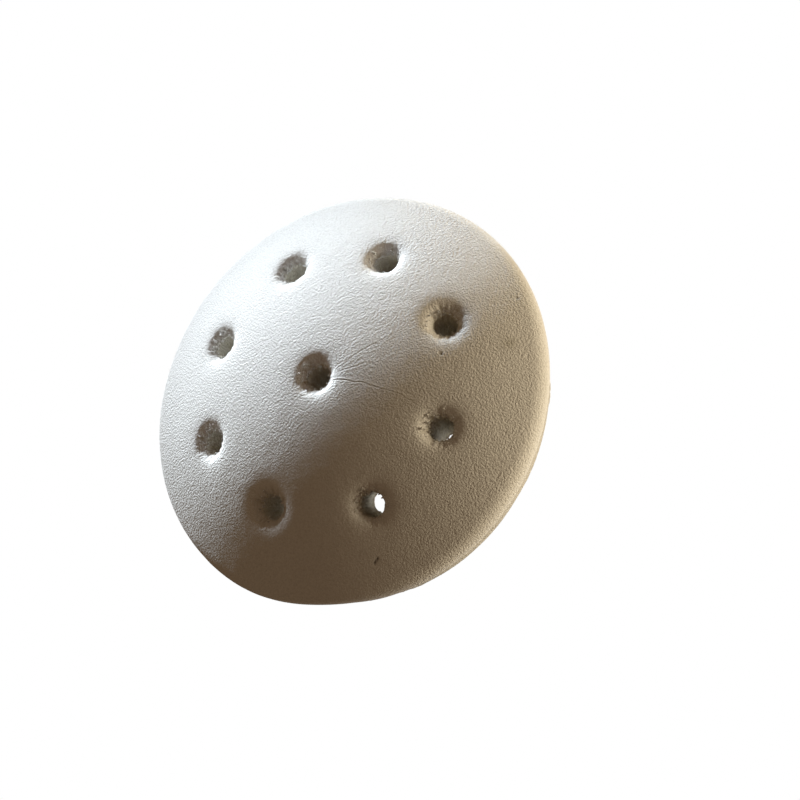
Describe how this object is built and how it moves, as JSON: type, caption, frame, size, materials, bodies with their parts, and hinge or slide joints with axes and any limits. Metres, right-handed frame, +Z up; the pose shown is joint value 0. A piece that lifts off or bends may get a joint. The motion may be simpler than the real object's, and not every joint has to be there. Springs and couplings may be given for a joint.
{
  "type": "flower frog",
  "caption": "Domed hand-made clay flower frog with a middle stem hole, a ring of stem holes leaning outwards, and a thin non-slip pad.",
  "frame": {"origin": "centre of the underside, on the surface that the frog stands on", "axes": "+Z runs up through the top of the dome; +X is 6.5 to 7 degrees clockwise of the first ring hole"},
  "size_m": [0.11, 0.11, 0.0288],
  "materials": {
    "clay": "matte, unglazed, fine pebbled skin",
    "glue": "dried glue film",
    "pad": "smooth matte dark grey"
  },
  "bodies": {
    "root": {"frog_body": "clay", "pad_glue": "glue", "base_pad": "pad"}
  },
  "joints": []
}
